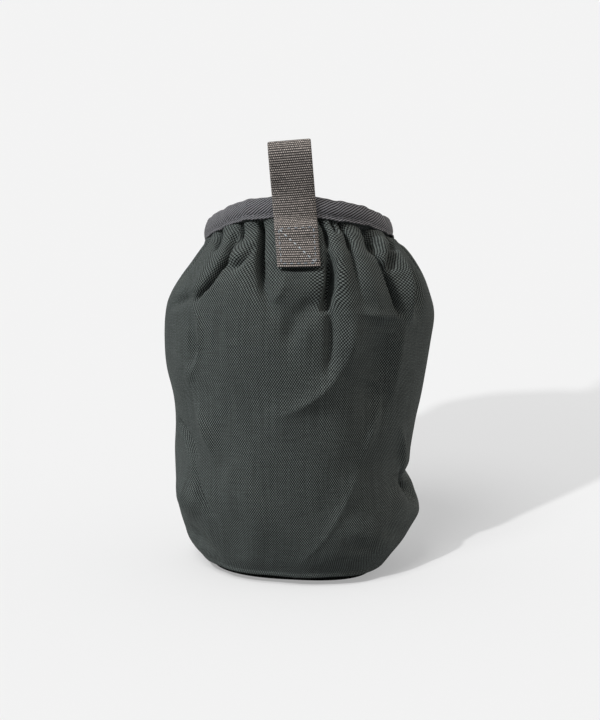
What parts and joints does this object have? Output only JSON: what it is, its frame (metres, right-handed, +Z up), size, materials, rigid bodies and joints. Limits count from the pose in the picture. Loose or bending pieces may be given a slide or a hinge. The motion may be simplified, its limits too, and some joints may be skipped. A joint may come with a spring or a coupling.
{
  "type": "bottle pouch",
  "caption": "Soft standing bottle pouch of woven nylon with a gathered, tape-bound mouth, a flat base and a ribbed webbing loop sewn at the front.",
  "frame": {"origin": "on the floor under the pouch, on the flat underside of the base panel", "axes": "+Z up through the mouth, -Y towards the front with the webbing loop, +X to the right seen from the front"},
  "size_m": [0.1305, 0.1168, 0.2124],
  "materials": {
    "shell_cloth": "plain-woven nylon, dark grey-green",
    "base_cloth": "plain-woven nylon, dark grey-green",
    "binding_tape": "twill tape, mid grey",
    "webbing": "cross-ribbed webbing, warm grey"
  },
  "bodies": {
    "root": {"body": "shell_cloth", "base_panel": "base_cloth", "rim_binding": "binding_tape", "webbing_loop": "webbing"}
  },
  "joints": []
}
